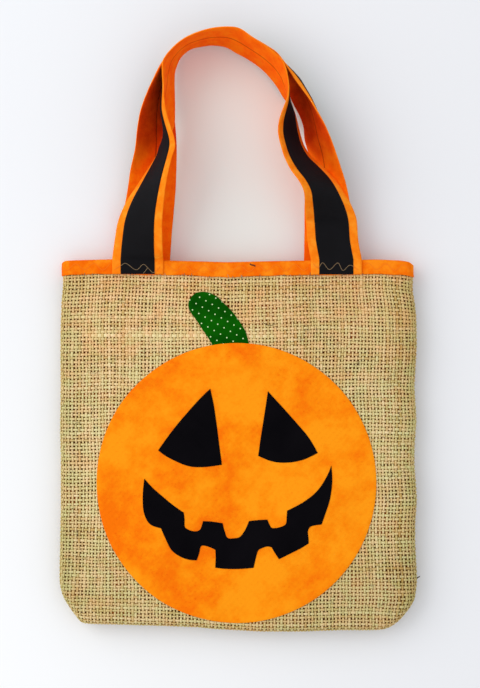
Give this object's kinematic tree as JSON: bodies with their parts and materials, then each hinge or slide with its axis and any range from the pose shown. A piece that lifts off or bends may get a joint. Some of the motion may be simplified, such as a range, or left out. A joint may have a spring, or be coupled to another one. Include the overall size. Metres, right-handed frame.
{
  "type": "candy bag",
  "caption": "Flat burlap candy tote lying on its back, with a bound open mouth, a smiling pumpkin applique and two fabric handles that fold at the hem.",
  "frame": {"origin": "centre of the bag body, on the face of the back panel that the bag lies on", "axes": "+Z out of the front with the pumpkin, +Y along the bag towards its mouth and handles, +X to the right as the front is seen"},
  "size_m": [0.268, 0.4495, 0.0521],
  "materials": {
    "burlap": "coarse open weave, matte",
    "lining": "plain cotton, matte",
    "orange_cotton": "plain cotton, matte",
    "pumpkin_cotton": "mottled cotton, matte",
    "green_cotton": "cotton with small white dots, matte",
    "black_cotton": "plain cotton, matte",
    "black_ribbon": "ribbed ribbon, faint sheen",
    "tan_thread": "twisted thread, matte"
  },
  "bodies": {
    "bag": {"burlap_front": "burlap", "burlap_back": "burlap", "lining_front": "lining", "lining_back": "lining", "hem_binding": "orange_cotton", "pumpkin_applique": "pumpkin_cotton", "stem_applique": "green_cotton", "left_eye": "black_cotton", "right_eye": "black_cotton", "mouth": "black_cotton", "front_left_strap_end": "orange_cotton", "front_left_ribbon_end": "black_ribbon", "front_left_wavy_stitch": "tan_thread", "rear_left_strap_end": "orange_cotton", "rear_left_ribbon_end": "black_ribbon", "rear_left_wavy_stitch": "tan_thread", "front_right_strap_end": "orange_cotton", "front_right_ribbon_end": "black_ribbon", "front_right_wavy_stitch": "tan_thread", "rear_right_strap_end": "orange_cotton", "rear_right_ribbon_end": "black_ribbon", "rear_right_wavy_stitch": "tan_thread"},
    "front_handle": {"front_strap": "orange_cotton", "front_ribbon": "black_ribbon"},
    "rear_handle": {"rear_strap": "orange_cotton", "rear_ribbon": "black_ribbon"}
  },
  "joints": [
    {"name": "front_handle_fold", "type": "hinge", "parent": "bag", "child": "front_handle", "pos_m": [0, 0.1385, 0.0214], "axis": [1, 0, 0], "range_deg": [0, 150]},
    {"name": "rear_handle_fold", "type": "hinge", "parent": "bag", "child": "rear_handle", "pos_m": [0, 0.1385, -0.001], "axis": [1, 0, 0], "range_deg": [-170, 0]}
  ]
}
